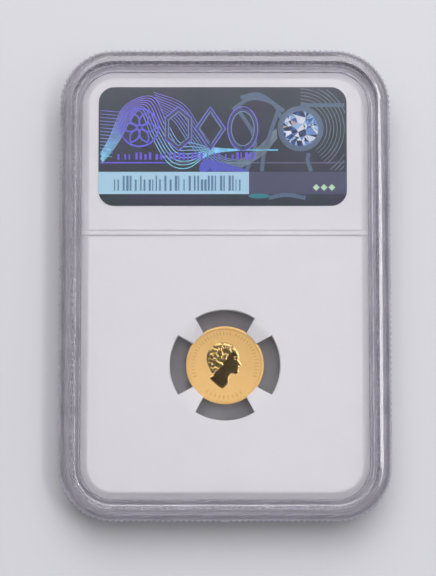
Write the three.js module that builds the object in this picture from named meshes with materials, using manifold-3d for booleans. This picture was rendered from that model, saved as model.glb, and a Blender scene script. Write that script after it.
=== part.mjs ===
// Graded coin slab: two clear shells welded round a white core, which grips one small coin by four prongs.
// Millimetres, +Z up. The slab lies on its front, so its back, with the security label, looks up.
// The origin is the middle of the base. +Y points at the label end, and +X to the right seen from the back.

import * as THREE from 'three';
import { mergeVertices } from 'three/addons/utils/BufferGeometryUtils.js';
import Module from 'manifold-3d';

// Driving dimensions. An inset is a distance in from the slab's outer edge.
const slabWidth = 59;
const slabLength = 84;
const slabThickness = 8;
const cornerRadius = 9.8;
const windowThickness = 1.3;
const coreThickness = 2.5;
const coinRadius = 6.95;
const coinThickness = 0.6;

// Heights.
const partingHeight = slabThickness / 2;
const ledgeHeight = slabThickness - 1.2;
const backWindowTop = slabThickness - 1;
const backWindowBottom = backWindowTop - windowThickness;
const frontWindowBottom = 1.5;
const frontWindowTop = frontWindowBottom + windowThickness;
const frontRecessHeight = slabThickness - ledgeHeight;
const coreBack = backWindowBottom - 0.25;
const coreFront = coreBack - coreThickness;
const coinMiddle = (coreBack + coreFront) / 2;

// The rim, as insets.
const lipInset = 1.15;
const ridgeOuterInset = 1.3;
const ridgeInnerInset = 2.1;
const coveInset = 3.6;
const frontRecessInset = 3.2;
const frontWindowInset = 4.2;
const cavityInset = 3.5;
const grooveInsets = [1.8, 2.6];
const grooveDepth = 0.6;
const tongueInsets = [1.9, 2.5];
const tongueHeight = 0.5;
const ridgeDraft = 0.1;
const weldLine = 0.02;

// The reeding on the outer side, which stops for a short plain land at each of these places.
const reedPitch = 1.05;
const reedDepth = 0.2;
const reedBacking = 0.3;
const reedBand = [0.3, ledgeHeight - 0.3];
const landHalfWidth = 0.7;
const longSideLands = [-25.4, 0, 25.4];
const shortSideLands = [0];

// The core.
const coreInset = 3.8;
const coreEdgeWidth = 1.6;
const coreEdgeDrop = 0.9;
const dividerPlace = 9.25;
const dividerWidth = 0.9;
const dividerHeight = 0.2;

// The coin's well, its prongs and the coin.
const wellPlace = -14.4;
const wellRadius = 9.8;
const prongCount = 4;
const prongTipRadius = 6.75;
const prongBevelRadius = 8.6;
const prongRootRadius = 10.2;
const prongTipHalfHeight = 0.6;
const prongTipHalfWidth = 1.33;
const prongRootHalfWidth = 2.4;
const coinSideGap = 0.07;
const coinFaceGap = 0.05;
const coinRimWidth = 0.55;
const coinFieldDepth = 0.1;
const coinEdgeBevel = 0.08;

// The two labels.
const labelPlace = new THREE.Vector2(-0.4, 24.7);
const labelSize = new THREE.Vector2(44.4, 21.4);
const labelThickness = 0.15;
const labelCorner = 2.8;
const cardSize = new THREE.Vector2(46, 22);
const cardThickness = 0.25;
const cardCorner = 1;
const cardRecessDepth = 0.35;
const cardRecessMargin = 0.3;
const filmGap = 0.02;

// How finely round stretches are drawn.
const cornerSteps = 5;
const coveSteps = 5;
const coreEdgeSteps = 4;
const roundSteps = 64;

const wasm = await Module();
wasm.setup();

/** Closed geometry to a solid that can be joined and cut. */
function toSolid(geometry) {
  geometry.deleteAttribute('normal');
  geometry.deleteAttribute('uv');
  const merged = mergeVertices(geometry);
  const vertProperties = new Float32Array(merged.attributes.position.array);
  const triVerts = new Uint32Array(merged.index.array);
  return new wasm.Manifold(new wasm.Mesh({ numProp: 3, vertProperties, triVerts }));
}

/** Solid back to a geometry. */
function toGeometry(solid) {
  const { vertProperties, triVerts } = solid.getMesh();
  const geometry = new THREE.BufferGeometry();
  geometry.setAttribute('position', new THREE.BufferAttribute(vertProperties, 3));
  geometry.setIndex(new THREE.BufferAttribute(triVerts, 1));
  geometry.computeVertexNormals();
  return geometry;
}

/** Rectangle with round corners about the origin. */
function roundedRectangle(width, length, radius) {
  const x = width / 2 - radius;
  const y = length / 2 - radius;
  const quarter = Math.PI / 2;
  const shape = new THREE.Shape();
  shape.absarc(x, y, radius, 0, quarter);
  shape.absarc(-x, y, radius, quarter, 2 * quarter);
  shape.absarc(-x, -y, radius, 2 * quarter, 3 * quarter);
  shape.absarc(x, -y, radius, 3 * quarter, 4 * quarter);
  shape.closePath();
  return shape;
}

/** The slab's outline, moved in. */
function slabOutline(inset) {
  return roundedRectangle(slabWidth - 2 * inset, slabLength - 2 * inset, cornerRadius - inset);
}

/** Shape raised from one height to another. */
function plate(shape, bottom, top) {
  const options = { depth: top - bottom, bevelEnabled: false, curveSegments: cornerSteps };
  return new THREE.ExtrudeGeometry(shape, options).translate(0, 0, bottom);
}

/** Points of an elliptical arc, as [inset, height] pairs. Angles are in degrees. */
function arcPoints(centre, radii, from, to, steps) {
  const [start, end] = [from, to].map(THREE.MathUtils.degToRad);
  const arc = new THREE.EllipseCurve(...centre, ...radii, start, end, end < start);
  return arc.getPoints(steps).map((point) => point.toArray());
}

/**
 * Solid whose edge follows the slab's outline. The profile is a list of [inset, height] pairs. It runs from
 * the edge of the flat top, outwards and down, and then inwards to the edge of the flat bottom.
 */
function rimSolid(profile) {
  const loops = profile.map(([inset, height]) => {
    const outline = slabOutline(inset).getPoints(cornerSteps).slice(0, -1);
    return outline.map((point) => [point.x, point.y, height]);
  });
  const count = loops[0].length;
  const topCentre = profile.length * count;
  const bottomCentre = topCentre + 1;
  const lastLoop = topCentre - count;
  const triangles = [];
  for (let step = 0; step < count; step += 1) {
    const next = (step + 1) % count;
    triangles.push(topCentre, step, next);
    triangles.push(bottomCentre, lastLoop + next, lastLoop + step);
    for (let start = 0; start < lastLoop; start += count) {
      triangles.push(start + step, start + count + step, start + count + next);
      triangles.push(start + step, start + count + next, start + next);
    }
  }
  const centres = [profile[0][1], profile.at(-1)[1]].flatMap((height) => [0, 0, height]);
  const geometry = new THREE.BufferGeometry();
  geometry.setAttribute('position', new THREE.Float32BufferAttribute([...loops.flat(2), ...centres], 3));
  geometry.setIndex(triangles);
  return geometry;
}

/** Whether the reeding is left off at a point of the outline. */
function isPlainLand(point) {
  const near = (value) => (place) => Math.abs(value - place) < landHalfWidth;
  const onLongSide = Math.abs(point.x) > slabWidth / 2 - reedDepth;
  return onLongSide ? longSideLands.some(near(point.y)) : shortSideLands.some(near(point.x));
}

/** Ring that carries the upright reeds of one shell. */
function reededRing(bottom, top) {
  const outline = slabOutline(0);
  const steps = 2 * Math.round(outline.getLength() / reedPitch);
  const points = [];
  for (let step = 0; step < steps; step += 1) {
    const point = outline.getPoint(step / steps);
    const tangent = outline.getTangent(step / steps);
    const depth = step % 2 && !isPlainLand(point) ? reedDepth : 0;
    points.push(new THREE.Vector2(point.x - tangent.y * depth, point.y + tangent.x * depth));
  }
  const ring = new THREE.Shape(points);
  ring.holes.push(slabOutline(2 * reedBacking));
  return plate(ring, bottom, top);
}

/** Body of revolution about a vertical axis at the coin's place. The profile is [radius, height] pairs. */
function turned(profile) {
  const points = profile.map(([radius, height]) => new THREE.Vector2(radius, height));
  return new THREE.LatheGeometry(points, roundSteps).rotateX(Math.PI / 2).translate(0, wellPlace, 0);
}

/** Upright disc at the coin's place. */
function disc(radius, bottom, top) {
  return turned([[0, bottom], [radius, bottom], [radius, top], [0, top]]);
}

function backShell() {
  const riseHeight = slabThickness - backWindowTop;
  const coveWidth = coveInset - ridgeInnerInset;
  const coveRadius = (coveWidth ** 2 + riseHeight ** 2) / (2 * riseHeight);
  const coveCentre = [coveInset, backWindowTop + coveRadius];
  const coveEnd = 270 - THREE.MathUtils.radToDeg(Math.asin(coveWidth / coveRadius));
  const bottom = partingHeight + weldLine / 2;
  const [grooveOuter, grooveInner] = grooveInsets;
  const profile = [
    ...arcPoints(coveCentre, [coveRadius, coveRadius], 270, coveEnd, coveSteps),
    [ridgeOuterInset, slabThickness],
    [ridgeOuterInset - ridgeDraft, ledgeHeight],
    [reedBacking, ledgeHeight],
    [reedBacking, bottom],
    [grooveOuter, bottom],
    [grooveOuter, bottom + grooveDepth],
    [grooveInner, bottom + grooveDepth],
    [grooveInner, bottom],
    [cavityInset, bottom],
    [cavityInset, backWindowBottom],
  ];
  const reeds = reededRing(bottom, reedBand[1]);
  return toGeometry(toSolid(rimSolid(profile)).add(toSolid(reeds)));
}

function frontShell() {
  const top = partingHeight - weldLine / 2;
  const [tongueOuter, tongueInner] = tongueInsets;
  const profile = [
    [cavityInset, frontWindowTop],
    [cavityInset, top],
    [tongueInner, top],
    [tongueInner - ridgeDraft, top + tongueHeight],
    [tongueOuter + ridgeDraft, top + tongueHeight],
    [tongueOuter, top],
    [reedBacking, top],
    [reedBacking, 0],
    [lipInset, 0],
    [lipInset, frontRecessHeight],
    [frontRecessInset, frontRecessHeight],
    [frontWindowInset, frontWindowBottom],
  ];
  const reeds = reededRing(reedBand[0], top);
  return toGeometry(toSolid(rimSolid(profile)).add(toSolid(reeds)));
}

/** The core before it is cut: a plate with a rounded edge, its back raised by an extra height. */
function coreBlank(extra) {
  const edge = [coreEdgeWidth, coreEdgeDrop];
  const backCentre = [coreInset + coreEdgeWidth, coreBack - coreEdgeDrop + extra];
  const frontCentre = [coreInset + coreEdgeWidth, coreFront + coreEdgeDrop];
  return toSolid(rimSolid([
    ...arcPoints(backCentre, edge, 90, 180, coreEdgeSteps),
    ...arcPoints(frontCentre, edge, 180, 270, coreEdgeSteps),
  ]));
}

/** The raised line between the label's half and the coin's half. */
function divider() {
  const bar = new THREE.BoxGeometry(slabWidth, dividerWidth, slabThickness);
  bar.translate(0, dividerPlace, coreFront + slabThickness / 2 + coreEdgeDrop);
  return coreBlank(dividerHeight).intersect(toSolid(bar));
}

/** The prongs, which reach from the wall of the well over both faces of the coin's edge. */
function prongs() {
  const tip = [prongTipRadius - coinRimWidth, prongRootRadius];
  const plan = new THREE.Shape([
    new THREE.Vector2(tip[0], -prongTipHalfWidth),
    new THREE.Vector2(tip[1], -prongRootHalfWidth),
    new THREE.Vector2(tip[1], prongRootHalfWidth),
    new THREE.Vector2(tip[0], prongTipHalfWidth),
  ]);
  const section = [
    [prongTipRadius, coinMiddle - prongTipHalfHeight],
    [prongBevelRadius, coreFront],
    [prongRootRadius, coreFront],
    [prongRootRadius, coreBack],
    [prongBevelRadius, coreBack],
    [prongTipRadius, coinMiddle + prongTipHalfHeight],
    [prongTipRadius, coinMiddle - prongTipHalfHeight],
  ];
  const ring = toSolid(turned(section));
  const bars = Array.from({ length: prongCount }, (_, index) => {
    const angle = (index + 0.5) * (2 * Math.PI / prongCount);
    return toSolid(plate(plan, coreFront, coreBack).rotateZ(angle).translate(0, wellPlace, 0));
  });
  return ring.intersect(bars.reduce((joined, bar) => joined.add(bar)));
}

function core() {
  const well = disc(wellRadius, 0, slabThickness);
  const seatHalfHeight = coinThickness / 2 + coinFaceGap;
  const seat = disc(coinRadius + coinSideGap, coinMiddle - seatHalfHeight, coinMiddle + seatHalfHeight);
  const recessSize = cardSize.clone().addScalar(2 * cardRecessMargin);
  const recess = plate(roundedRectangle(recessSize.x, recessSize.y, cardCorner), 0, coreFront + cardRecessDepth);
  recess.translate(labelPlace.x, labelPlace.y, 0);
  const solid = coreBlank(0).add(divider()).subtract(toSolid(well)).add(prongs());
  return toGeometry(solid.subtract(toSolid(seat)).subtract(toSolid(recess)));
}

function coin() {
  const halfThickness = coinThickness / 2;
  const fieldRadius = coinRadius - coinRimWidth;
  const fieldHalf = halfThickness - coinFieldDepth;
  const upper = [
    [coinRadius, halfThickness - coinEdgeBevel],
    [coinRadius - coinEdgeBevel, halfThickness],
    [fieldRadius + coinFieldDepth, halfThickness],
    [fieldRadius, fieldHalf],
    [0, fieldHalf],
  ];
  const lower = upper.map(([radius, height]) => [radius, -height]).reverse();
  return turned([...lower, ...upper].map(([radius, height]) => [radius, coinMiddle + height]));
}

function securityLabel() {
  const bottom = coreBack + filmGap;
  const shape = roundedRectangle(labelSize.x, labelSize.y, labelCorner);
  return plate(shape, bottom, bottom + labelThickness).translate(labelPlace.x, labelPlace.y, 0);
}

function gradingLabel() {
  const top = coreFront + cardRecessDepth - filmGap;
  const shape = roundedRectangle(cardSize.x, cardSize.y, cardCorner);
  return plate(shape, top - cardThickness, top).translate(labelPlace.x, labelPlace.y, 0);
}

const clearPlastic = { color: 0xd9d7e0, roughness: 0.05, metalness: 0, transparent: true, opacity: 0.35 };
const whitePlastic = { color: 0xdcdbdf, roughness: 0.5, metalness: 0 };
const gold = { color: 0xc59a45, roughness: 0.25, metalness: 1 };
const foil = { color: 0x555a6b, roughness: 0.3, metalness: 0.6 };
const card = { color: 0xf1eee6, roughness: 0.8, metalness: 0 };

const pieces = [
  ['front_shell', frontShell(), clearPlastic],
  ['back_shell', backShell(), clearPlastic],
  ['core', core(), whitePlastic],
  ['coin', coin(), gold],
  ['security_label', securityLabel(), foil],
  ['grading_label', gradingLabel(), card],
];

const group = new THREE.Group();
for (const [name, geometry, look] of pieces) {
  const mesh = new THREE.Mesh(geometry, new THREE.MeshStandardMaterial(look));
  mesh.name = name;
  group.add(mesh);
}

export default group;
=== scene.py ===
"""Looks of a graded coin slab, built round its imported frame.

Shapes are worked out in millimetres, in the frame's own axes, and become metres when a mesh is made.
The slab lies on its front. An inset is a distance in from the slab's outer edge, and a height is a distance
up from the base. A shape is a (vertices, faces) pair.
"""

import random
from math import cos, hypot, pi, radians, sin, sqrt, tan

import bpy
import numpy as np
from mathutils import Matrix, Vector
from mathutils.geometry import delaunay_2d_cdt


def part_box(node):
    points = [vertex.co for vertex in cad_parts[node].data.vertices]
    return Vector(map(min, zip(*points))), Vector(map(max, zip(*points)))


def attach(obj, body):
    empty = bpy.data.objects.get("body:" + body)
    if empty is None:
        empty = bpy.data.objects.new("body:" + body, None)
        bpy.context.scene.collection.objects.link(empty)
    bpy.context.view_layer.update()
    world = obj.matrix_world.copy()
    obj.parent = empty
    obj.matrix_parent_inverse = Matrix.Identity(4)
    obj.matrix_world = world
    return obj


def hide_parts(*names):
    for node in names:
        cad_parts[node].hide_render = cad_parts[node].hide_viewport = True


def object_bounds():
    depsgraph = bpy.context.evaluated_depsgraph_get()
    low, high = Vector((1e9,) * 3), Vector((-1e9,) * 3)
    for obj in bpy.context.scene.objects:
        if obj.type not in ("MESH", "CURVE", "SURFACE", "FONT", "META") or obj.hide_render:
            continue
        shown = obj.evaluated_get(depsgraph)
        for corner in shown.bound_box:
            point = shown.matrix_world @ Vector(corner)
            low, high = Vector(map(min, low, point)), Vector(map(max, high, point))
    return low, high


MM = 0.001
FULL_TURN = 2 * pi

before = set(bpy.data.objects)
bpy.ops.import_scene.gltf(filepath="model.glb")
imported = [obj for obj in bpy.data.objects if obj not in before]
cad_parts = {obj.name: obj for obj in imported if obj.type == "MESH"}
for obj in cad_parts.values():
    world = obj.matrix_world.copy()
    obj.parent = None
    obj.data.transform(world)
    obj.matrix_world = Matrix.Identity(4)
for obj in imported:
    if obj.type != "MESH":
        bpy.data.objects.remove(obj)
cad_low, cad_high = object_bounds()


def box_mm(node):
    """Lowest and highest corner of a CAD node, in millimetres."""
    low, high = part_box(node)
    return low / MM, high / MM


# ---- Places and sizes from the frame ----

slab_size = (cad_high - cad_low) / MM
back_low, _ = box_mm("back_shell")
core_low, core_high = box_mm("core")
coin_low, coin_high = box_mm("coin")
label_low, label_high = box_mm("security_label")
card_low, card_high = box_mm("grading_label")
coin_centre = (coin_low + coin_high) / 2
coin_radius = (coin_high.x - coin_low.x) / 2
coin_half_thickness = (coin_high.z - coin_low.z) / 2
core_half_width = (core_high.x - core_low.x) / 2
label_centre = (label_low + label_high) / 2
card_centre = (card_low + card_high) / 2

# ---- The shells ----

CORNER_RADIUS = 9.8
PARTING = back_low.z
WELD_LINE = 0.02
BACK_WINDOW_TOP = slab_size.z - 1.0
WINDOW_THICKNESS = 1.3
FRONT_WINDOW_BOTTOM = 1.5
LEDGE = slab_size.z - 1.2
FRONT_RECESS = 1.2
RIDGE_FALL = 0.1
CAVITY_INSET = 3.5
BACK_FLAT_INSET = 4.0
FRONT_FLAT_INSET = 5.0
STITCH_INSETS = (0.6, 0.45)
REED_DEPTH = 0.28
REEDS_ON_CORNER = 15
REEDS_ON_SIDES = (62, 38)
REED_POINTS = 6
LAND_HALF_WIDTH = 0.6
LONG_SIDE_LANDS = (-25.4, 0.0, 25.4)

# ---- The core and the coin ----

DIVIDER_HEIGHT = 0.2
DIVIDER_WIDTH = 0.9
DIVIDER_PLACE = 9.1
GROOVE_SIZES = (0.17, 0.32)
CORE_BACK = core_high.z - DIVIDER_HEIGHT
CORE_FRONT = core_low.z
CORE_CORNER = CORNER_RADIUS - (slab_size.x / 2 - core_half_width)
CORE_EDGE = (1.35, 0.88)
WELL_RADIUS = 9.8
WELL_LIP = 0.22
PRONG_TIP = 6.75
PRONG_ROOT = 10.3
PRONG_TIP_SIZE = (1.33, 0.6)
PRONG_FLARE = 0.292
PRONG_EDGE = 0.16
PRONG_TIP_LIP = 0.12
BORE_STEPS = 144
SEAT_GAPS = (0.07, 0.05)
CARD_CORNER = 1.0
CARD_RECESS_MARGIN = 0.3
COIN_RIM = 0.55
COIN_FIELD_DEPTH = 0.1


# ---- Mesh tools ----

def smooth(mesh, angle=35.0):
    """Smooth shading across edges softer than an angle in degrees."""
    mesh.shade_smooth()
    mesh.set_sharp_from_angle(angle=radians(angle))


def link(thing):
    bpy.context.scene.collection.objects.link(thing)


def add_piece(name, vertices, faces, material, slot, smooth_angle=35.0, colours=None):
    """Object from points in millimetres, smooth across soft edges. With a material, it rides on the slab."""
    mesh = bpy.data.meshes.new(name)
    mesh.from_pydata([tuple(value * MM for value in vertex) for vertex in vertices], [], faces)
    mesh.validate()
    smooth(mesh, smooth_angle)
    if colours is not None:
        layer = mesh.color_attributes.new("tint", "FLOAT_COLOR", "CORNER")
        for polygon, colour in zip(mesh.polygons, colours):
            for corner in polygon.loop_indices:
                layer.data[corner].color = (*colour, 1.0)
    piece = bpy.data.objects.new(name, mesh)
    link(piece)
    if material is not None:
        mesh.materials.append(material)
        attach(piece, "root")
    return piece


def add_weighted_normals(piece):
    """Keeps flat faces flat beside small rounded edges."""
    modifier = piece.modifiers.new("flat_faces", "WEIGHTED_NORMAL")
    modifier.keep_sharp = True
    modifier.weight = 100


def combine(piece, tool, operation="DIFFERENCE"):
    """Cuts a piece with a tool, or joins them. The tool is used up."""
    modifier = piece.modifiers.new("combine", "BOOLEAN")
    modifier.operation = operation
    modifier.solver = "MANIFOLD"
    modifier.object = tool
    evaluated = piece.evaluated_get(bpy.context.evaluated_depsgraph_get())
    mesh = bpy.data.meshes.new_from_object(evaluated)
    piece.modifiers.clear()
    piece.data = mesh
    bpy.data.objects.remove(tool)


def arc(centre, radii, start, end, steps):
    """Points of an elliptical arc. Angles are in degrees."""
    angles = [radians(start + (end - start) * step / steps) for step in range(steps + 1)]
    return [(centre[0] + radii[0] * cos(a), centre[1] + radii[1] * sin(a)) for a in angles]


def heading(angle):
    """Unit vector at an angle in radians."""
    return Vector((cos(angle), sin(angle)))


def filleted(corners, steps=5):
    """Profile through (inset, height, fillet radius) corners, with each fillet drawn as an arc."""
    profile = []
    for index, (inset, height, radius) in enumerate(corners):
        corner = Vector((inset, height))
        if not radius:
            profile.append(corner)
            continue
        before, after = (Vector(corners[i][:2]) - corner for i in (index - 1, index + 1))
        before.normalize()
        after.normalize()
        half = before.angle(after) / 2
        centre = corner + (before + after).normalized() * radius / sin(half)
        reach = radius / tan(half)
        first = corner + before * reach - centre
        last = corner + after * reach - centre
        profile.extend(centre + first.slerp(last, step / steps) * radius for step in range(steps + 1))
    return profile


def stations(size, radius, corner_steps, side_steps=(1, 1)):
    """(anchor, normal) pairs counter-clockwise round a rounded rectangle, from its lower right."""
    x, y = size[0] / 2 - radius, size[1] / 2 - radius
    corners = [Vector(corner) for corner in ((x, -y), (x, y), (-x, y), (-x, -y))]
    result = []
    for side, start in enumerate(corners):
        end = corners[(side + 1) % 4]
        steps = side_steps[side % 2]
        turns = [(start.lerp(end, step / steps), side) for step in range(steps)]
        turns += [(end, side + step / corner_steps) for step in range(corner_steps)]
        for anchor, turn in turns:
            result.append((anchor, Matrix.Rotation(turn * FULL_TURN / 4, 2) @ Vector((1, 0))))
    return result


def ring_points(around, radius, inset, height, centre=(0, 0)):
    """Loop of points round a rounded rectangle, moved in by an inset."""
    middle = Vector(centre[:2])
    return [(*(anchor + normal * (radius - inset) + middle), height) for anchor, normal in around]


def loft(loops, joined=False):
    """Shape through equal loops. The ends are closed by faces, or joined to each other."""
    count = len(loops[0])
    vertices = [point for loop in loops for point in loop]
    faces = []
    for start in range(0, len(vertices) if joined else len(vertices) - count, count):
        other = (start + count) % len(vertices)
        for step in range(count):
            after = (step + 1) % count
            faces.append((start + step, other + step, other + after, start + after))
    if not joined:
        faces += [tuple(range(count)), tuple(reversed(range(len(vertices) - count, len(vertices))))]
    return vertices, faces


def rounded_plate(size, radius, bottom, top, centre, edge=0.0, corner_steps=12):
    """Rounded rectangular plate, with a small bevel round its top and bottom."""
    around = stations(size, radius, corner_steps)
    rows = [(0, top), (0, bottom)]
    if edge:
        rows = [(edge, top), (0, top - edge), (0, bottom + edge), (edge, bottom)]
    return loft([ring_points(around, radius, inset, height, centre) for inset, height in rows])


def turned(profile, steps, centre, ripple=None):
    """Body of revolution. The profile is (radius, height) pairs from the top down."""
    loops = []
    for radius, height in profile:
        loop = []
        for step in range(steps):
            angle = FULL_TURN * step / steps
            reach = radius + (ripple(radius, angle) if ripple else 0)
            loop.append((centre[0] + reach * cos(angle), centre[1] + reach * sin(angle), height))
        loops.append(loop)
    return loft(loops)


def prism(outline, bottom, top):
    """Plate with a counter-clockwise outline."""
    return loft([[(x, y, height) for x, y in outline] for height in (top, bottom)])


def ribbon(path, width, bottom, top, joined=False):
    """Flat strip along a path, which may be joined into a loop."""
    points = [Vector(point) for point in path]
    last = len(points) - 1
    loops = []
    for index, point in enumerate(points):
        before, after = index - 1, (index + 1) % len(points)
        if not joined:
            before, after = max(before, 0), min(index + 1, last)
        along = (points[after] - points[before]).normalized()
        side = Vector((-along.y, along.x)) * width / 2
        left, right = point + side, point - side
        loops.append([(*left, bottom), (*right, bottom), (*right, top), (*left, top)])
    return loft(loops, joined)


def smooth_path(guides, steps, joined=False):
    """Curve through guide points (Catmull-Rom)."""
    points = [np.array(guide, float) for guide in guides]
    if joined:
        points = [points[-1], *points, points[0], points[1]]
    else:
        points = [2 * points[0] - points[1], *points, 2 * points[-1] - points[-2]]
    path = []
    for a, b, c, d in zip(points, points[1:], points[2:], points[3:]):
        for share in (step / steps for step in range(steps)):
            cubic = (3 * (b - c) + d - a) * share ** 3 + (2 * a - 5 * b + 4 * c - d) * share ** 2
            path.append((cubic + (c - a) * share) / 2 + b)
    if not joined:
        path.append(points[-2])
    return [(float(x), float(y)) for x, y in path]


def dome(centre, radius, bottom, height):
    """Low round dome."""
    profile = [(reach, bottom + rise) for reach, rise in arc((0, 0), (radius, height), 85, 0, 4)]
    return turned([*profile, (radius, bottom - height / 4)], 12, centre)


def relief(outline, inside, height_at, bottom):
    """Closed body over an outline. Its top follows height_at(x, y) at the outline's points and inside it."""
    flat = [Vector(point) for point in (*outline, *inside)]
    points, _, triangles, *_ = delaunay_2d_cdt(flat, [], [list(range(len(outline)))], 1, 1e-5, False)
    x, y = np.array([tuple(point) for point in points]).T
    middles = [(x[list(face)].mean(), y[list(face)].mean()) for face in triangles]
    inside = edge_distance(*np.array(middles).T, [tuple(point) for point in outline]) > 0
    triangles = [face for face, kept in zip(triangles, inside) if kept]
    upper = list(zip(x, y, height_at(x, y)))
    lower = [(*point, bottom) for point in points]
    edges = {(face[i], face[(i + 1) % 3]) for face in triangles for i in range(3)}
    rim = [(a, b) for a, b in edges if (b, a) not in edges]
    count = len(points)
    faces = [tuple(face) for face in triangles]
    faces += [tuple(count + index for index in reversed(face)) for face in triangles]
    faces += [(b, a, count + a, count + b) for a, b in sorted(rim)]
    return upper + lower, faces


def edge_distance(x, y, outline):
    """Distance of each point from a closed outline, negative outside it."""
    starts = np.array(outline)
    spans = np.roll(starts, -1, axis=0) - starts
    from_start = np.stack([x, y], -1)[:, None, :] - starts
    share = np.clip((from_start * spans).sum(-1) / (spans ** 2).sum(-1), 0, 1)
    distance = np.linalg.norm(from_start - share[..., None] * spans, axis=-1).min(axis=1)
    rises = (starts[:, 1] > y[:, None]) != (starts[:, 1] + spans[:, 1] > y[:, None])
    climbs = np.where(spans[:, 1], spans[:, 1], 1e-9)
    crossing = starts[:, 0] + spans[:, 0] * (y[:, None] - starts[:, 1]) / climbs
    inside = (rises & (x[:, None] < crossing)).sum(axis=1) % 2 == 1
    return np.where(inside, distance, -distance)


def grid_inside(outline, pitch, clearance=0.6):
    """Square grid of points inside an outline, kept clear of its edge by a share of the pitch."""
    low, high = np.min(outline, axis=0), np.max(outline, axis=0)
    x, y = (axis.ravel() for axis in np.meshgrid(*(np.arange(a, b, pitch) for a, b in zip(low, high))))
    keep = edge_distance(x, y, outline) > pitch * clearance
    return list(zip(x[keep], y[keep]))


def moved(shape, centre):
    """Shape drawn about the origin, moved to a centre."""
    vertices, faces = shape
    return [(x + centre.x, y + centre.y, z) for x, y, z in vertices], faces


def merged(parts):
    """Several shapes as one."""
    vertices, faces = [], []
    for part_vertices, part_faces in parts:
        start = len(vertices)
        vertices += part_vertices
        faces += [tuple(start + index for index in face) for face in part_faces]
    return vertices, faces


# ---- Materials ----

def tint(red, green, blue):
    """Linear colour from display values between 0 and 255."""
    shares = (value / 255 for value in (red, green, blue))
    return tuple(share / 12.92 if share <= 0.04045 else ((share + 0.055) / 1.055) ** 2.4 for share in shares)


class Nodes:
    """Short calls for the nodes of one tree. The place is what its noise and gradients are made from."""

    def __init__(self, tree, coordinate):
        self.tree = tree
        self.place = tree.nodes.new("ShaderNodeTexCoord").outputs[coordinate]

    def node(self, kind, inputs=None, **settings):
        """New node. Each input is a value or a socket to link from."""
        node = self.tree.nodes.new("ShaderNode" + kind)
        for setting, value in settings.items():
            setattr(node, setting, value)
        for key, value in (inputs or {}).items():
            if isinstance(value, bpy.types.NodeSocket):
                self.tree.links.new(value, node.inputs[key])
            else:
                node.inputs[key].default_value = value
        return node

    def noise(self, size, detail=3.0, stretch=(1, 1, 1)):
        """Noise with features about this many millimetres across, drawn out along the axes by stretch."""
        scale = [1 / (size * MM * factor) for factor in stretch]
        place = self.node("Mapping", {"Vector": self.place, "Scale": scale}).outputs[0]
        return self.node("TexNoise", {"Vector": place, "Scale": 1.0, "Detail": detail}).outputs["Fac"]

    def between(self, source, low, high, start=0.0, end=1.0):
        """The source, eased from low at start to high at end."""
        inputs = {"Value": source, "From Min": start, "From Max": end, "To Min": low, "To Max": high}
        return self.node("MapRange", inputs, interpolation_type="SMOOTHSTEP").outputs[0]

    def blend(self, share, first, second):
        """Mix of two colours."""
        mix = self.node("Mix", {0: share}, data_type="RGBA")
        for index, colour in ((6, first), (7, second)):
            if isinstance(colour, bpy.types.NodeSocket):
                self.tree.links.new(colour, mix.inputs[index])
            else:
                mix.inputs[index].default_value = (*colour, 1)
        return mix.outputs[2]

    def axis(self, name):
        """One coordinate of the place."""
        return self.node("SeparateXYZ", {0: self.place}).outputs[name]


class Look(Nodes):
    """A material with one Principled shader."""

    def __init__(self, name, sockets=None):
        self.material = bpy.data.materials.new(name)
        self.material.use_nodes = True
        super().__init__(self.material.node_tree, "Object")
        self.shader = self.tree.nodes["Principled BSDF"]
        for socket, value in (sockets or {}).items():
            self.shader.inputs[socket].default_value = value

    def feed(self, socket, source):
        """Links a socket to the shader."""
        self.tree.links.new(source, self.shader.inputs[socket])

    def vary_colour(self, size, first, second):
        """Base colour that drifts between two."""
        self.feed("Base Color", self.blend(self.noise(size), first, second))

    def vary_roughness(self, size, low, high, start=0.0, end=1.0):
        """Roughness that drifts between two values."""
        self.feed("Roughness", self.between(self.noise(size), low, high, start, end))

    def bump(self, height, distance, strength=1.0):
        """Feeds a height to the shader's normal. The distance is in millimetres."""
        inputs = {"Height": height, "Distance": distance * MM, "Strength": strength}
        self.feed("Normal", self.node("Bump", inputs).outputs[0])


def clear_look(name, roughness, clearness, colour=(0.98, 0.97, 0.99)):
    """Clear moulded plastic, faintly violet where it is thick. What clearness leaves is a milky haze."""
    look = Look(name, {"Base Color": (*colour, 1), "IOR": 1.5})
    look.vary_roughness(9, *roughness, 0.35, 0.7)
    look.feed("Transmission Weight", look.between(look.noise(4), *clearness, 0.35, 0.65))
    inside = look.node("VolumeAbsorption", {"Color": (0.72, 0.66, 0.80, 1), "Density": 40.0})
    look.tree.links.new(inside.outputs[0], look.tree.nodes["Material Output"].inputs["Volume"])
    return look


def window_plastic():
    look = clear_look("window_plastic", (0.005, 0.02), (0.995, 1.0))
    scratches = look.noise(0.5, 1.0, stretch=(1, 30, 1))
    look.bump(look.between(scratches, 0, 1, 0.66, 0.72), 0.0004)
    return look.material


def rim_plastic():
    look = clear_look("rim_plastic", (0.01, 0.03), (0.87, 0.91), (0.96, 0.935, 0.99))
    look.bump(look.noise(0.8), 0.0005)
    return look.material


# Its lilac grey is partly the frosted reeding's own colour and partly painted shade for the darkness the
# reeds take on by refraction.
def reeded_plastic():
    look = clear_look("reeded_plastic", (0.35, 0.45), (0.66, 0.74), (0.62, 0.6, 0.68))
    look.bump(look.noise(0.1), 0.002)
    return look.material


def scuffed_plastic():
    """Hazed by many fine rubs, as on the window the slab lies on."""
    look = clear_look("scuffed_plastic", (0.05, 0.15), (0.74, 0.8))
    look.bump(look.noise(0.2, stretch=(1, 8, 1)), 0.002)
    return look.material


def white_plastic():
    look = Look("white_plastic")
    look.vary_colour(14, (0.915, 0.915, 0.91), (0.94, 0.94, 0.935))
    look.vary_roughness(3, 0.42, 0.52)
    look.bump(look.noise(0.18), 0.004, 0.5)
    return look.material


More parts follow.
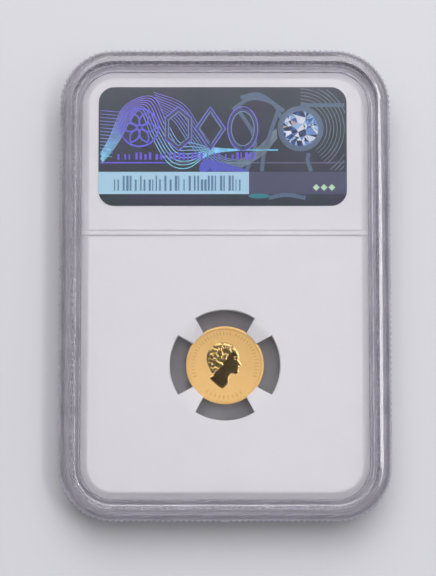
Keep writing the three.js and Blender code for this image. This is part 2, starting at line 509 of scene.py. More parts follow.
def gold(name, dark, light, tint_size, roughness, roughness_size):
    """Gold whose tint and roughness drift over patches of the given sizes."""
    look = Look(name, {"Metallic": 1.0})
    look.vary_colour(tint_size, dark, light)
    look.vary_roughness(roughness_size, *roughness)
    return look


def satin_gold():
    look = gold("satin_gold", (0.9, 0.59, 0.22), (0.93, 0.65, 0.27), 1.6, (0.52, 0.6), 0.8)
    look.bump(look.noise(0.05), 0.004, 0.6)
    return look.material


def polished_gold():
    return gold("polished_gold", (0.80, 0.56, 0.22), (0.90, 0.66, 0.30), 0.9, (0.08, 0.16), 0.5).material


# Gold darkened far below the field's: painted shade that stands in for the dark reflections the polished
# curls show.
def curl_gold_painted_shade():
    return gold("curl_gold_painted_shade", (0.36, 0.265, 0.095), (0.5, 0.375, 0.145), 0.7, (0.17, 0.24), 0.4).material


def slate_foil():
    """Dark foil whose tint drifts between slate, violet and green, with faint engraved waves."""
    look = Look("slate_foil", {"Metallic": 0.3})
    cool = look.blend(look.between(look.noise(6), 0, 1, 0.4, 0.6), tint(62, 71, 80), tint(67, 69, 84))
    green = look.between(look.noise(3.5, 2), 0, 0.7, 0.55, 0.68)
    look.feed("Base Color", look.blend(green, cool, tint(56, 74, 72)))
    look.vary_roughness(0.7, 0.3, 0.45)
    place = look.node("Mapping", {"Vector": look.place, "Scale": (1 / MM,) * 3}).outputs[0]
    inputs = {"Vector": place, "Scale": 0.5, "Distortion": 5.0, "Detail": 1.0, "Detail Scale": 0.5}
    waves = look.node("TexWave", inputs, bands_direction="DIAGONAL")
    look.bump(waves.outputs["Fac"], 0.003)
    return look.material


def shifting_foil(name, low, high, far):
    """Foil lines whose colour turns from low to high up the label, and to far along it. The turn of colour
    is painted reflection, the foil's rainbow sheen fixed to places on the label, with a noisy painted
    sparkle.
    """
    look = Look(name)
    low, high, far = tint(*low), tint(*high), tint(*far)
    up = look.between(look.axis("Y"), 0, 1, (label_low.y + 6) * MM, (label_high.y - 3) * MM)
    along = look.between(look.axis("X"), 0, 1, (label_centre.x - 6) * MM, (label_centre.x + 6) * MM)
    colour = look.blend(along, look.blend(up, low, high), far)
    sparkle = look.between(look.noise(1.2), 0.8, 1.2, 0.3, 0.7)
    lit = look.node("VectorMath", {0: colour, "Scale": sparkle}, operation="SCALE")
    look.feed("Base Color", lit.outputs[0])
    look.vary_roughness(0.6, 0.25, 0.4)
    return look.material


def printed(name, colour, roughness=0.5, grain=0.4, metallic=0.0):
    """Flat printed colour with a slight grain."""
    look = Look(name, {"Metallic": metallic})
    darker = tuple(value * 0.88 for value in colour)
    look.vary_colour(grain, darker, colour)
    look.vary_roughness(grain * 2, roughness - 0.06, roughness + 0.06)
    look.bump(look.noise(grain / 2), 0.002, 0.4)
    return look.material


def gem_foil():
    """Facets with their own tint, read from the mesh."""
    look = Look("gem_foil", {"Metallic": 0.2})
    own = look.node("VertexColor", layer_name="tint").outputs["Color"]
    look.feed("Base Color", look.blend(look.between(look.noise(0.3), 0, 0.2), own, tint(140, 175, 225)))
    look.vary_roughness(0.8, 0.15, 0.3)
    return look.material


def pale_floor():
    look = Look("pale_floor")
    look.vary_colour(60, (0.455, 0.455, 0.48), (0.47, 0.47, 0.495))
    look.vary_roughness(30, 0.55, 0.65)
    return look.material


# ---- Shells ----

rim_stations = stations(slab_size, CORNER_RADIUS, REEDS_ON_CORNER * REED_POINTS,
                        [reeds * REED_POINTS for reeds in REEDS_ON_SIDES])


def reed_depth(index):
    """How far the reeding cuts in at a station of the rim."""
    anchor, normal = rim_stations[index]
    on_land = abs(anchor.x) < LAND_HALF_WIDTH
    if abs(normal.x) > 0.99:
        on_land = any(abs(anchor.y - land) < LAND_HALF_WIDTH for land in LONG_SIDE_LANDS)
    wave = (1 + cos(FULL_TURN * index / REED_POINTS)) / 2
    return 0 if on_land else REED_DEPTH * wave


def rim_loop(row):
    """Loop of points for a (inset, height, reeded) row. Only a reeded row has every station."""
    inset, height, reeded = row
    if not reeded:
        return ring_points(rim_stations[::REED_POINTS], CORNER_RADIUS, inset, height)
    edge_share = max(0, 1 - inset / STITCH_INSETS[1])
    loop = []
    for index, (anchor, normal) in enumerate(rim_stations):
        cut = reed_depth(index) * edge_share
        loop.append((*(anchor + normal * (CORNER_RADIUS - inset - cut)), height))
    return loop


def strip(upper, lower):
    """Faces between two loops of vertex indices, one of which may have REED_POINTS times the points."""
    if len(upper) > len(lower):
        return [tuple(reversed(face)) for face in strip(lower, upper)]
    every = len(lower) // len(upper)
    middle = every // 2
    faces = []
    for step, start in enumerate(upper):
        end = upper[(step + 1) % len(upper)]
        run = [lower[(step * every + extra) % len(lower)] for extra in range(every + 1)]
        if every == 1:
            faces.append((start, *run, end))
            continue
        faces += [(start if i < middle else end, run[i], run[i + 1]) for i in range(every)]
        faces.append((start, run[middle], end))
    return faces


def add_shell(node, profile, materials):
    """Shell from plain, reeded and plain stretches of profile. Its materials are rim, reeding and window."""
    rows = []
    for stretch, reeded in zip(profile, (False, True, False)):
        rows += [(*point, reeded) for point in filleted(stretch)]
    vertices, loops = [], []
    for row in rows:
        loop = rim_loop(row)
        loops.append(range(len(vertices), len(vertices) + len(loop)))
        vertices += loop
    faces = [tuple(loops[0]), tuple(reversed(loops[-1]))]
    rim, reeding, window = range(3)
    looks = [window, window]
    for upper_loop, lower_loop in zip(loops, loops[1:]):
        band = strip(upper_loop, lower_loop)
        faces += band
        reeded = len(upper_loop) == len(lower_loop) == len(rim_stations)
        looks += [reeding if reeded else rim] * len(band)
    shell = add_piece(node + "_clear", vertices, faces, materials[rim], "clear_plastic")
    for material in materials[reeding:]:
        shell.data.materials.append(material)
    shell.data.polygons.foreach_set("material_index", looks)
    add_weighted_normals(shell)
    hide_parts(node)


def back_shell(materials):
    window_bottom = BACK_WINDOW_TOP - WINDOW_THICKNESS
    groove_top = PARTING + 0.6
    stitch, fine = STITCH_INSETS
    upper = [
        (BACK_FLAT_INSET, BACK_WINDOW_TOP, 0), (2.7, BACK_WINDOW_TOP, 0.7),
        (2.3, slab_size.z, 0.08), (2.2, slab_size.z, 0),
        (1.65, slab_size.z - RIDGE_FALL, 0.3), (1.32, slab_size.z - 2 * RIDGE_FALL, 0.08),
        (1.2, LEDGE, 0.12), (stitch, LEDGE, 0),
    ]
    flank = [(fine, LEDGE, 0), (0, LEDGE, 0.25), (0, PARTING, 0.08), (fine, PARTING, 0)]
    lower = [
        (stitch, PARTING, 0), (1.8, PARTING, 0.04),
        (1.8, groove_top, 0.1), (2.6, groove_top, 0.1),
        (2.6, PARTING, 0.04), (CAVITY_INSET, PARTING, 0.04),
        (CAVITY_INSET, window_bottom, 0.3), (BACK_FLAT_INSET, window_bottom, 0),
    ]
    add_shell("back_shell", (upper, flank, lower), materials)


def front_shell(materials):
    window_top = FRONT_WINDOW_BOTTOM + WINDOW_THICKNESS
    parting = PARTING - WELD_LINE
    tongue_top = parting + 0.5
    stitch, fine = STITCH_INSETS
    upper = [
        (FRONT_FLAT_INSET, window_top, 0), (CAVITY_INSET, window_top, 0.3),
        (CAVITY_INSET, parting, 0.04), (2.5, parting, 0.02),
        (2.4, tongue_top, 0.1), (2.0, tongue_top, 0.1),
        (1.9, parting, 0.02), (stitch, parting, 0),
    ]
    flank = [(fine, parting, 0), (0, parting, 0.08), (0, 0, 0.25), (fine, 0, 0)]
    lower = [
        (stitch, 0, 0), (1.15, 0, 0.12),
        (1.15, FRONT_RECESS, 0.12), (3.2, FRONT_RECESS, 0.1),
        (4.2, FRONT_WINDOW_BOTTOM, 0.3), (FRONT_FLAT_INSET, FRONT_WINDOW_BOTTOM, 0),
    ]
    add_shell("front_shell", (upper, flank, lower), materials)


# ---- Core ----

def core_plate():
    """The core's plate, with a soft bevel on both edges."""
    width, drop = CORE_EDGE
    flat = width + 0.6
    rows = filleted([
        (flat, CORE_BACK, 0), (width, CORE_BACK, 1.0), (0, CORE_BACK - drop, 0.15),
        (0, CORE_FRONT + drop, 0.15), (width, CORE_FRONT, 1.0), (flat, CORE_FRONT, 0),
    ])
    around = stations(core_high - core_low, CORE_CORNER, 24)
    return loft([ring_points(around, CORE_CORNER, inset, height) for inset, height in rows])


def bore_cutter(radius, bottom, top, lip):
    """Cutter for a hole whose edges are rounded."""
    upper = arc((radius + lip, top - lip), (lip, lip), 90, 180, 5)
    lower = [(reach, top + bottom - height) for reach, height in reversed(upper)]
    past = 1.0
    profile = [(radius + lip, top + past), *upper, *lower, (radius + lip, bottom - past)]
    return turned(profile, BORE_STEPS, coin_centre)


def prong(angle):
    """One prong along a direction from the coin's centre, which thins towards its tip."""
    tip_width, tip_height = PRONG_TIP_SIZE
    full_height = (CORE_BACK - CORE_FRONT) / 2
    turn = Matrix.Rotation(angle, 3, "Z")
    loops = []
    steps, spare = 12, 0.6
    length = PRONG_ROOT - PRONG_TIP + spare
    for reach in (PRONG_ROOT - length * step / steps for step in range(steps + 1)):
        width = tip_width + PRONG_FLARE * (reach - PRONG_TIP)
        climb = min(1, max(0, (reach - PRONG_TIP) / (WELL_RADIUS - PRONG_TIP)))
        height = tip_height + (full_height - tip_height) * sin(climb * FULL_TURN / 4)
        around = stations((2 * width, 2 * height), PRONG_EDGE, 5)
        section = [anchor + normal * PRONG_EDGE for anchor, normal in around]
        loops.append([tuple(turn @ Vector((reach, y, z)) + coin_centre) for y, z in section])
    return loft(loops)


def divider():
    """Low rounded ridge across the core's back, which follows the core's bevelled edges."""
    width, drop = CORE_EDGE
    flat = core_half_width - width
    ends = [core_half_width - 0.05, flat - 0.15, flat - 0.4]
    places = [-place for place in ends] + ends[::-1]
    root, sunk, rounding = 0.3, 0.02, 0.12
    loops = []
    for x in places:
        surface = CORE_BACK - drop * max(0, abs(x) - flat) / width
        foot, crest = DIVIDER_WIDTH / 2, DIVIDER_WIDTH / 3
        top = surface + DIVIDER_HEIGHT - sunk / 2
        right = filleted([
            (foot, surface - root, 0), (foot, surface - sunk, 0), (crest, top, rounding), (0, top, 0),
        ], 4)
        left = [(-across, height) for across, height in reversed(right[:-1])]
        loops.append([(x, DIVIDER_PLACE + across, height) for across, height in [*right, *left]])
    return loft(loops[::-1])


def divider_grooves():
    """Fine grooves along both feet of the divider, which end where the bevels start."""
    grooves = []
    for side, size in zip((-1, 1), GROOVE_SIZES):
        foot = DIVIDER_PLACE + side * DIVIDER_WIDTH / 2
        path = [(-core_half_width, foot), (core_half_width, foot)]
        grooves.append(ribbon(path, size, CORE_BACK - size, core_high.z + 1))
    return merged(grooves)


def tool(shape, name="tool"):
    return add_piece(name, *shape, None, None)


def core_moulding(material):
    core = tool(core_plate(), "core_moulding")
    combine(core, tool(divider()), "UNION")
    combine(core, tool(divider_grooves()))
    combine(core, tool(bore_cutter(WELL_RADIUS, CORE_FRONT, CORE_BACK, WELL_LIP)))
    prongs = tool(merged([prong(FULL_TURN * (index + 0.5) / 4) for index in range(4)]))
    _, tip_half = PRONG_TIP_SIZE
    tips = bore_cutter(PRONG_TIP, coin_centre.z - tip_half, coin_centre.z + tip_half, PRONG_TIP_LIP)
    combine(prongs, tool(tips))
    combine(core, prongs, "UNION")
    seat_radius = coin_radius + SEAT_GAPS[0]
    seat_half = coin_half_thickness + SEAT_GAPS[1]
    seat = [(seat_radius, coin_centre.z + seat_half), (seat_radius, coin_centre.z - seat_half)]
    combine(core, tool(turned(seat, BORE_STEPS, coin_centre)))
    margin = 2 * CARD_RECESS_MARGIN
    recess_size = card_high - card_low + Vector((margin, margin, 0))
    recess_top = card_high.z + WELD_LINE
    recess = rounded_plate(recess_size, CARD_CORNER, CORE_FRONT - 1, recess_top, card_centre)
    combine(core, tool(recess))
    smooth(core.data)
    core.data.materials.clear()
    core.data.materials.append(material)
    add_weighted_normals(core)
    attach(core, "root")
    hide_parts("core")


# ---- Coin ----

def coin_body(material):
    """Coin blank with a raised rim and a finely reeded edge."""
    reeds, reed_cut = 110, 0.035
    half = coin_half_thickness
    field = coin_radius - COIN_RIM
    upper = filleted([
        (0.5, half - COIN_FIELD_DEPTH, 0),
        (field, half - COIN_FIELD_DEPTH, 0.06),
        (field + 0.08, half, 0.03),
        (coin_radius, half, 0.09),
        (coin_radius, 0, 0),
    ], 4)
    lower = [(radius, -height) for radius, height in reversed(upper[:-1])]
    profile = [(radius, coin_centre.z + height) for radius, height in [*upper, *lower]]

    def ripple(radius, angle):
        at_edge = radius > coin_radius - 0.01
        return -reed_cut * (1 - cos(reeds * angle)) / 2 if at_edge else 0

    coin = add_piece("coin_blank", *turned(profile, reeds * 4, coin_centre, ripple), material, "gold")
    add_weighted_normals(coin)
    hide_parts("coin")


# The head is drawn in millimetres from the coin's centre, facing right.

HEAD_OUTLINE = (
    (1.75, 2.75), (2.3, 2.05), (2.42, 1.4), (2.28, 1.08), (2.52, 0.62), (2.88, 0.14), (2.78, -0.05),
    (2.44, -0.12), (2.45, -0.28), (2.58, -0.42), (2.42, -0.54), (2.5, -0.68), (2.34, -0.86), (2.42, -1.1),
    (2.3, -1.42), (1.9, -1.58), (1.3, -1.48), (0.85, -1.7), (0.65, -2.3), (0.6, -3.0), (0.2, -3.65),
    (-0.47, -4.12), (-1.3, -3.65), (-2.1, -2.95), (-2.75, -2.2), (-2.15, -1.75), (-1.75, -1.0),
    (-1.1, -0.4), (-0.5, 0.3), (-0.1, 1.2), (0.7, 2.2),
)
HAIR_OUTLINE = (
    (2.02, 2.55), (1.75, 3.2), (1.15, 3.72), (0.3, 4.03), (-0.7, 4.05), (-1.75, 3.7), (-2.6, 3.05),
    (-3.15, 2.15), (-3.3, 1.15), (-3.12, 0.15), (-2.75, -0.65), (-2.45, -1.25), (-1.95, -1.4), (-1.5, -1.0),
    (-0.95, -0.55), (-0.35, -0.25), (0.05, 0.1), (0.35, 0.7), (0.6, 1.35), (1.15, 1.85),
)
HEAD_RISE = 0.045
HAIR_RISE = 0.095
TIARA_RISE = 0.075
# Soft swellings and hollows of the face: name, place, half lengths, turn in degrees, height.
FACE_RELIEF = (
    ("brow", (1.82, 1.42), (0.40, 0.09), -10, 0.020),
    ("eye socket", (1.85, 1.08), (0.36, 0.18), -5, -0.022),
    ("eyelid", (1.84, 1.0), (0.20, 0.09), -5, 0.026),
    ("cheek", (1.35, 0.05), (0.50, 0.45), 20, 0.014),
    ("nostril", (2.40, 0.08), (0.13, 0.11), 0, 0.022),
    ("side of the nose", (2.14, 0.10), (0.07, 0.20), -20, -0.016),
    ("mouth", (2.28, -0.55), (0.26, 0.05), 4, -0.030),
    ("lower lip hollow", (2.20, -0.88), (0.16, 0.08), 0, -0.014),
    ("jaw", (1.15, -1.12), (0.75, 0.22), 22, 0.012),
    ("under the jaw", (0.85, -1.62), (0.75, 0.20), 22, -0.030),
)
CURL_PITCH = 0.8
RELIEF_ROOT = -0.02


def face_height(x, y):
    """Height of the head over the coin's field."""
    share = np.clip(edge_distance(x, y, head_outline) / 0.55, 0, 1)
    height = HEAD_RISE * (0.25 + 0.75 * np.sqrt(1 - (1 - share) ** 2))
    for _, place, lengths, turn, swell in FACE_RELIEF:
        lean = heading(radians(turn))
        along = ((x - place[0]) * lean.x + (y - place[1]) * lean.y) / lengths[0]
        across = ((y - place[1]) * lean.x - (x - place[0]) * lean.y) / lengths[1]
        height += swell * np.exp(-(along ** 2 + across ** 2)) * share
    return height


def hair_height(x, y):
    """Height of the hair, a mass of small spiral curls."""
    share = np.clip(edge_distance(x, y, hair_outline) / 0.3, 0, 1)
    centres = np.array(curl_centres)
    away = np.stack([x, y], -1)[:, None, :] - centres
    distance = np.linalg.norm(away, axis=-1)
    nearest = distance.argmin(axis=1)
    rows = np.arange(len(x))
    reach = distance[rows, nearest] / (CURL_PITCH * 0.6)
    angle = np.arctan2(away[rows, nearest, 1], away[rows, nearest, 0])
    spiral = 0.5 + 0.5 * np.cos(angle + 1.6 * pi * reach + nearest)
    swell = np.sqrt(np.clip(1 - reach ** 2, 0, 1))
    return HAIR_RISE * (0.2 + (0.05 + 0.6 * swell + 0.15 * spiral) * share)


def jittered(points, reach, seed):
    """Points moved a little at random."""
    draw = random.Random(seed)
    return [(x + draw.uniform(-reach, reach), y + draw.uniform(-reach, reach)) for x, y in points]


def scalloped(outline, lobe, depth):
    """Outline swollen into round lobes."""
    points = [Vector(point) for point in outline]
    result = []
    run = 0
    for index, point in enumerate(points):
        before, after = points[index - 1], points[(index + 1) % len(points)]
        run += (point - before).length
        side = Vector(((after - before).y, -(after - before).x)).normalized()
        result.append(tuple(point + side * depth * abs(sin(pi * run / lobe))))
    return result


def on_coin(shape, side=1):
    """Moves a shape drawn about the coin's centre onto its upper field, or its lower one when side is -1."""
    vertices, faces = shape
    level = coin_half_thickness - COIN_FIELD_DEPTH
    across, along, middle = coin_centre
    return [(across + x, along + side * y, middle + side * (level + z)) for x, y, z in vertices], faces


def tiara():
    """Band of beads across the hair, with taller beads on points along its front."""
    path = smooth_path([(1.55, 2.75), (0.75, 3.2), (-0.3, 3.05), (-1.3, 2.5), (-2.1, 1.65)], 6)
    width, root, overlap, point_length = 0.14, 0.03, 0.005, 0.3
    parts = [ribbon(path, width, root, TIARA_RISE + overlap)]
    parts += [dome(point, 0.1, TIARA_RISE, 0.022) for point in path[::2]]
    for point in (Vector(place) for place in path[1:-6:3]):
        tip = point + point.normalized() * point_length
        parts.append(dome(tip, 0.13, TIARA_RISE - overlap, 0.026))
    return merged(parts)


def legend_marks():
    """Rows of plain raised dashes where a coin has its lettering."""
    inner, outer = 5.35, 5.95
    width, rise = 0.16, 0.03
    parts = []
    for degrees in (*range(200, 75, -6), *range(70, -22, -6), *range(-60, -125, -8)):
        ends = [heading(radians(degrees)) * reach for reach in (inner, outer)]
        parts.append(ribbon(ends, width, RELIEF_ROOT, rise))
    return merged(parts)


def wreath_and_star():
    """Reverse of the coin: a wreath of leaves round a star."""
    star_radii, star_rise = (2.6, 1.1), 0.06
    star = [heading(FULL_TURN * (step / 10 + 1 / 4)) * star_radii[step % 2] for step in range(10)]
    parts = [prism(star, RELIEF_ROOT, star_rise)]
    leaves, wreath_radius, lean = 28, 4.6, 0.5
    leaf_length, leaf_half_width, leaf_rise = 1.1, 0.22, 0.05
    for leaf in range(leaves):
        angle = FULL_TURN * leaf / leaves
        base = heading(angle) * wreath_radius
        tip = base + heading(angle + (lean if leaf % 2 else -lean)) * leaf_length
        middle = base.lerp(tip, 0.5)
        across = (tip - base).orthogonal().normalized() * leaf_half_width
        parts.append(prism((base, middle - across, tip, middle + across), RELIEF_ROOT, leaf_rise))
    return merged(parts)


head_outline = smooth_path(HEAD_OUTLINE, 8, joined=True)
hair_outline = scalloped(smooth_path(HAIR_OUTLINE, 8, joined=True)[::-1], 0.55, 0.07)[::-1]
curl_centres = jittered(grid_inside(hair_outline, CURL_PITCH, 0.25), CURL_PITCH * 0.35, 4)


def coin_art(polished, curled, marks):
    head = relief(head_outline[::-1], grid_inside(head_outline, 0.07), face_height, RELIEF_ROOT)
    add_piece("coin_head", *on_coin(head), polished, "gold", 60)
    hair = relief(hair_outline[::-1], grid_inside(hair_outline, 0.06), hair_height, RELIEF_ROOT)
    add_piece("coin_hair", *on_coin(hair), curled, "gold", 60)
    add_piece("coin_tiara", *on_coin(tiara()), polished, "gold")
    add_piece("coin_legend_marks", *on_coin(legend_marks()), marks, "gold")
    add_piece("coin_wreath", *on_coin(wreath_and_star(), side=-1), marks, "gold")


# ---- Security label ----
# Drawn in millimetres from the label's centre. Prints and foil lines lie in layers on its dark base.

LABEL_CORNER = 2.8
LABEL_BASE_TOP = label_high.z - 0.06
LAYER = 0.012
LINE_WIDTH = 0.14
label_half = (label_high - label_low) / 2
BAND_BOTTOM, BAND_TOP = -8.6, -4.6
BAND_SPLIT = 4.7
BAND_REACH = label_half.x - 0.02
GEM_PLACE = Vector((13.95, 3.2))
GEM_RADIUS = 3.15
GEM_RING = 4.1


def layer(number, order=0):
    """Bottom and top of a printed layer. Marks that cross within a layer take their own order in it."""
    return LABEL_BASE_TOP - 0.002, LABEL_BASE_TOP + LAYER * number + 0.001 * order


def add_lines(name, shapes, material):
    add_piece("label_" + name, *moved(merged(shapes), label_centre), material, "foil")


def add_print(name, shapes, colour, roughness=0.4, grain=0.4, metallic=0.0):
    """Printed or foil marks in one colour."""
    add_lines(name, shapes, printed(name + "_print", tint(*colour), roughness, grain, metallic))


def clipped(path, margin=0.3):
    """The longest stretch of a path that stays on the label."""
    stretches, current = [], []
    for x, y in path:
        past = [max(0, abs(place) - half + LABEL_CORNER) for place, half in zip((x, y), label_half)]
        if hypot(*past) < LABEL_CORNER - margin:
            current.append((x, y))
        elif current:
            stretches.append(current)
            current = []
    stretches.append(current)
    return max(stretches, key=len)


def rectangle(left, bottom, right, top):
    return [(left, bottom), (right, bottom), (right, top), (left, top)]


def wave_bundle(first, last, number):
    """Lines that blend from one curve to another."""
    count = 8
    curves = [np.array(smooth_path(guides, 12)) for guides in (first, last)]
    lines = []
    for line in range(count):
        share = line / (count - 1)
        path = clipped([tuple(point) for point in curves[0] * (1 - share) + curves[1] * share])
        lines.append(ribbon(path, LINE_WIDTH, *layer(number, line)))
    return lines


def arch_lines():
    """Bundle that climbs from the label's left edge to an arch, swings low and runs on to the gem."""
    outer = [(-24, -5.0), (-20.4, 1.2), (-17.6, 7.2), (-12.6, 9.0), (-10.0, 4.4), (-7.8, 0.8), (-5.4, 0.6),
             (-2.0, -0.2), (4, -0.6), (9.9, -0.6)]
    inner = [(-24, -5.8), (-19.2, 0.0), (-16.2, 5.2), (-14.6, 6.2), (-12.6, 1.6), (-9.6, -3.1), (-6.2, -3.9),
             (-2.6, -1.6), (2, -0.8), (9.9, -0.7)]
    return wave_bundle(outer, inner, 2)


def echo_lines():
    """Fainter bundle to the right of the arch, and fans of fine lines at the label's left edge."""
    outer = [(-12.4, 9.8), (-7.0, 7.6), (-3.6, 2.6), (-0.4, -1.6), (3.4, -2.2), (7.0, 0.4), (9.6, 3.2)]
    inner = [(-11.2, 6.6), (-8.6, 4.4), (-6.0, 0.6), (-2.6, -3.2), (2.0, -4.2), (7.0, -1.6), (9.8, 1.6)]
    lines = wave_bundle(outer, inner, 1)
    for line in range(14):
        height = -1.6 + 0.62 * line
        path = [(-21.9, height), (-19.8 + 0.16 * line, height - 0.3)]
        lines.append(ribbon(clipped(path, 0.1), LINE_WIDTH, *layer(1)))
    return lines


def gem_arcs():
    """Rings of fine lines round the gem, where they clear the other marks."""
    lines = []
    for ring in range(12):
        radius = GEM_RING + 0.6 + 0.62 * ring
        around = arc(GEM_PLACE, (radius, radius), -55, 90, 70)
        path = clipped([point for point in around if point[1] > BAND_TOP + 0.2])
        if len(path) > 1:
            lines.append(ribbon(path, 0.1, *layer(0, 6)))
    return lines


def emblem():
    """Generic rosette: a ring round six petals."""
    centre = Vector((-14.9, 3.4))
    leaf = smooth_path([(0.4, 0), (1.7, 0.75), (3, 0), (1.7, -0.75)], 6, True)
    lines = []
    for petal in range(6):
        turn = Matrix.Rotation(FULL_TURN * petal / 6, 2)
        path = [centre + turn @ Vector(point) for point in leaf]
        lines.append(ribbon(path, 0.3, *layer(3, petal), joined=True))
    circle = arc(centre, (3.4, 3.4), 0, 354, 59)
    lines.append(ribbon(circle, 0.34, *layer(3, 7), joined=True))
    return lines


def raised_shapes(width, number, inset):
    """Plain tall outlined shapes in a row: hexagon, diamond, ellipse."""
    radii = (2.35 - inset, 3.5 - inset * 1.3)
    shapes = []
    for place, corners in ((-7.9, 6), (-2.2, 4), (3.6, 32)):
        outline = [Vector(point) for point in arc((place, 3.2), radii, 90, 450, corners)]
        path = [a.lerp(b, share / 8) for a, b in zip(outline, outline[1:]) for share in range(8)]
        shapes.append(ribbon(path, width, *layer(number), joined=True))
    return shapes


def dashes(left, right, bottom, top, pitch, number, seed):
    """Row of plain upright bars of uneven widths and gaps."""
    draw = random.Random(seed)
    bars = []
    place = left
    while place < right:
        width = pitch * draw.uniform(0.25, 0.75)
        height = top - draw.choice((0, 0, 0.25)) * (top - bottom)
        bars.append(prism(rectangle(place, bottom, place + width, height), *layer(number)))
        place += pitch * draw.choice((1, 1, 1, 1.5))
    return bars


def slate_strokes():
    """Broad plain strokes: drapes over the shapes, a bar beside the gem, stems below and the gem's ring."""
    middle = (GEM_RADIUS + GEM_RING) / 2
    ring = arc(GEM_PLACE, (middle, middle), 0, 354, 59)
    strokes = [ribbon(ring, GEM_RING - GEM_RADIUS, *layer(4), joined=True)]
    strokes.append(prism(rectangle(14, 7.1, label_half.x - 0.4, 7.8), *layer(1, 1)))
    drapes = (
        ((1.8, 6.6), (4.8, 8.6), (8.2, 8.2), (11, 6.4)),
        ((3.2, 8.8), (6.4, 9.4), (9.4, 7.4), (10.4, 5.2)),
        ((10.2, 7.2), (8.6, 2.6), (7.4, -1.4), (7.0, -4.5)),
        ((2.2, 7.4), (5.4, 2.4), (5.6, -1.0), (4.2, -4.5)),
        ((15.4, -1.2), (15.2, -2.6), (15.8, -4.5)),
        ((8.2, -9.3), (11.2, -8.75), (14.8, -9.3)),
    )
    for order, guides in enumerate(drapes):
        strokes.append(ribbon(smooth_path(guides, 8), 0.7, *layer(1, order + 2)))
    return strokes


def gem():
    """Patch of small facets of random height and tint."""
    draw = random.Random(7)
    outline = arc(GEM_PLACE, (GEM_RADIUS, GEM_RADIUS), 0, 350, 35)
    inside = []
    for _ in range(46):
        angle, reach = draw.uniform(0, FULL_TURN), GEM_RADIUS * 0.92 * sqrt(draw.random())
        inside.append(GEM_PLACE + heading(angle) * reach)
    low, high = layer(2)[1], layer(4)[1]
    vertices, faces = relief(
        outline, inside, lambda x, y: np.array([draw.uniform(low, high) for _ in x]), layer(1)[0]
    )
    # Facet tints of the foil; the rare warm tint (205, 190, 170) is a painted glint.
    palette = [tint(*shade) for shade in (
        (250, 252, 255), (235, 243, 252), (170, 205, 240), (120, 165, 220),
        (60, 95, 165), (35, 50, 95), (25, 32, 50), (205, 190, 170),
    )]
    weights = (5, 4, 5, 4, 4, 3, 3, 0.6)
    return vertices, faces, draw.choices(palette, weights, k=len(faces))


def security_label():
    shiny = (0.3, 0.8, 0.2)
    plate = rounded_plate(label_half * 2, LABEL_CORNER, label_low.z, LABEL_BASE_TOP, label_centre, 0.01, 16)
    add_piece("label_base", *plate, slate_foil(), "foil")
    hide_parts("security_label")
    pale_band = prism(rectangle(-BAND_REACH, BAND_BOTTOM, BAND_SPLIT, BAND_TOP), *layer(1))
    add_print("pale_band", [pale_band], (194, 238, 255))
    dim_band = prism(rectangle(BAND_SPLIT, BAND_BOTTOM, BAND_REACH, BAND_TOP), *layer(1))
    add_print("dim_band", [dim_band], (88, 92, 120))
    add_print("band_bars", dashes(-19.4, 3.4, -8.0, -5.3, 0.62, 2, 3), (104, 146, 182), 0.5)
    # The arch and echo foil colours are painted rainbow reflection, set by place on the label.
    arch = shifting_foil("arch_foil", (150, 242, 255), (146, 134, 255), (120, 222, 252))
    add_lines("arch_lines", arch_lines(), arch)
    echo = shifting_foil("echo_foil", (115, 185, 225), (130, 128, 225), (135, 155, 165))
    add_lines("echo_lines", echo_lines() + gem_arcs(), echo)
    end, split, height = label_half.x - 0.3, -10.3, -2.95
    rule = ribbon([(-end, height), (split, height)], 0.25, *layer(2))
    letters = dashes(-18.8, 6.2, -2.4, -1.1, 0.8, 3, 11)
    add_print("violet_marks", [rule, *letters], (122, 104, 245), 0.35, 0.8)
    grey_rule = ribbon([(split, height), (end, height)], 0.25, *layer(1))
    add_print("grey_rule", [grey_rule], (108, 108, 136))
    add_print("emblem", emblem(), (118, 116, 240), *shiny)
    # The edges and glints are painted highlights, which give the flat foil shapes a raised look.
    add_print("raised_shapes", raised_shapes(0.9, 3, 0.0), (84, 90, 128), 0.3, 1.2, 0.3)
    add_print("raised_edge_highlights", raised_shapes(0.18, 4, -0.36), (142, 138, 245), 0.3, 1.2, 0.2)
    add_print("raised_glints", raised_shapes(0.14, 4, 0.3), (140, 175, 215), 0.3, 1.2, 0.2)
    add_print("slate_strokes", slate_strokes(), (100, 122, 148))
    wedge = [(-4, -4.5), (0, -4.45), (4.8, -4.5), (1.6, -3.4), (-1.4, -2.6), (-3.4, -2.4)]
    add_print("wedge", [prism(smooth_path(wedge, 5, True), *layer(2))], (104, 112, 215), *shiny)
    green = [prism(arc((place, -7.4), (0.62, 0.62), 0, 270, 3), *layer(2)) for place in (16.7, 18.1, 19.5)]
    add_print("green_marks", green, (212, 250, 212))
    lens = arc((6.5, -8.95), (1.9, 0.45), 0, 340, 17)
    add_print("teal_lens", [prism(lens, *layer(2))], (70, 150, 160), *shiny)
    vertices, faces, tints = gem()
    add_piece("label_gem", *moved((vertices, faces), label_centre), gem_foil(), "foil", 1, tints)


# ---- Grading label ----

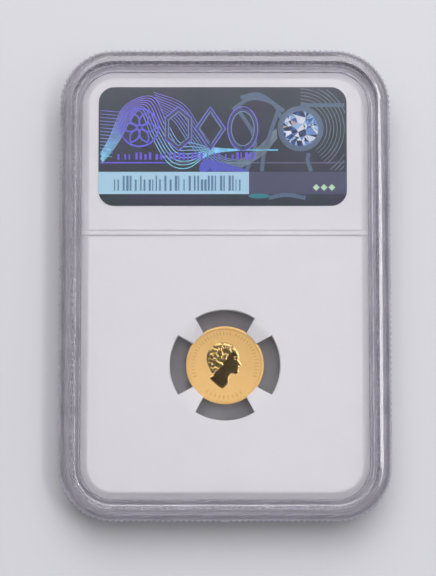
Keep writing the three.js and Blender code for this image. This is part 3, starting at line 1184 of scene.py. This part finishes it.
def grading_label():
    """Printed card behind the front window, read from below: a frame, a panel and plain bars."""
    ink = 0.02
    size = card_high - card_low
    plate = rounded_plate(size, CARD_CORNER, card_low.z + ink, card_high.z, card_centre, 0.01)
    card = add_piece("card_stock", *plate, printed("card_paper", tint(236, 233, 226), 0.6), "card")
    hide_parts("grading_label")
    low, high = card_low.z, card_low.z + ink + 0.005
    inset = 1.0
    around = ring_points(stations(size, CARD_CORNER, 6), CARD_CORNER, inset, 0)
    frame_path = [point[:2] for point in around]
    blue = [ribbon(frame_path, 0.3, low, high, True), prism(rectangle(-21, 4.5, 21, 8.5), low, high)]
    blue_print = printed("card_blue", tint(48, 82, 130))
    add_piece("card_frame", *moved(merged(blue), card_centre), blue_print, "card")
    draw = random.Random(5)
    bars = []
    place, last, bottom, top = -19.0, 4, -8.0, -3.5
    while place < last:
        width = draw.choice((0.25, 0.25, 0.5, 0.75))
        bars.append(prism(rectangle(place, bottom, place + width, top), low, high))
        place += width + draw.choice((0.25, 0.35, 0.6))
    dark_print = printed("card_ink", tint(40, 40, 46))
    add_piece("card_bars", *moved(merged(bars), card_centre), dark_print, "card")


# ---- Stage ----

def add_floor(material):
    half, level = 2500, -0.02
    corners = [(x, y, level) for x, y in rectangle(-half, -half, half, half)]
    floor = add_piece("floor", corners, [(0, 1, 2, 3)], None, None)
    floor.data.materials.append(material)


def add_area_light(name, place, size, watts, colour):
    """Rectangular light at a place in millimetres, facing the slab."""
    data = bpy.data.lights.new(name, "AREA")
    data.shape = "RECTANGLE"
    data.size, data.size_y = (length * MM for length in size)
    data.energy = watts
    data.color = colour
    light = bpy.data.objects.new(name, data)
    light.location = Vector(place) * MM
    light.rotation_euler = (-Vector(place)).to_track_quat("-Z", "Y").to_euler()
    link(light)


def add_world(away, toward, lobe, overhead):
    """Soft surround: brighter toward the label end, brightest high up there, and dark straight overhead."""
    world = bpy.data.worlds.new("soft_room")
    world.use_nodes = True
    room = Nodes(world.node_tree, "Generated")

    def facing(aim, start, end):
        inputs = {0: room.place, 1: Vector(aim).normalized()}
        nearness = room.node("VectorMath", inputs, operation="DOT_PRODUCT").outputs["Value"]
        return room.between(nearness, 0, 1, start, end)

    def spot(aim, outer, inner):
        return facing(aim, cos(radians(outer)), cos(radians(inner)))

    sides = room.blend(facing((0.3, 0.9, 0.15), -0.8, 0.8), away, toward)
    lit = room.blend(spot((0.05, 0.6, 0.8), 36, 12), sides, lobe)
    patch = spot((0, 0, 1), 18, 6)
    background = world.node_tree.nodes["Background"]
    world.node_tree.links.new(room.blend(patch, lit, overhead), background.inputs["Color"])
    bpy.context.scene.world = world


def add_camera():
    """Camera almost straight above the slab, a little towards its coin end."""
    tilt = radians(4.34)
    target = Vector((-1.23, -0.77, LEDGE))
    distance = 318.3
    data = bpy.data.cameras.new("camera")
    data.sensor_width = 36.0
    data.lens = 112.1875
    data.clip_start = 0.01
    data.clip_end = 20
    camera = bpy.data.objects.new("camera", data)
    camera.location = (target + Vector((0, -sin(tilt), cos(tilt))) * distance) * MM
    camera.rotation_euler = (tilt, 0, 0)
    link(camera)
    bpy.context.scene.camera = camera


add_camera()
add_world(
    away=(0.3, 0.3, 0.31), toward=(0.95, 0.95, 0.98), lobe=(3.6, 3.6, 3.64), overhead=(0.02, 0.02, 0.02)
)
add_area_light("key", (20, 330, 380), (420, 260), 0.69, (1.0, 0.995, 0.99))
add_area_light("right_strip", (296, 50, 634), (420, 80), 1.1, (1.0, 1.0, 1.0))
bpy.context.scene.view_settings.view_transform = "Standard"
add_floor(pale_floor())

rim_looks = (rim_plastic(), reeded_plastic())
back_shell((*rim_looks, window_plastic()))
front_shell((*rim_looks, scuffed_plastic()))
core_moulding(white_plastic())
coin_body(satin_gold())
# The legend and wreath gold is darker than the field's: painted shadow of the raised marks.
coin_art(polished_gold(), curl_gold_painted_shade(), printed("legend_gold_painted_shadow", (0.76, 0.47, 0.17), 0.45, 0.3, 1.0))
security_label()
grading_label()
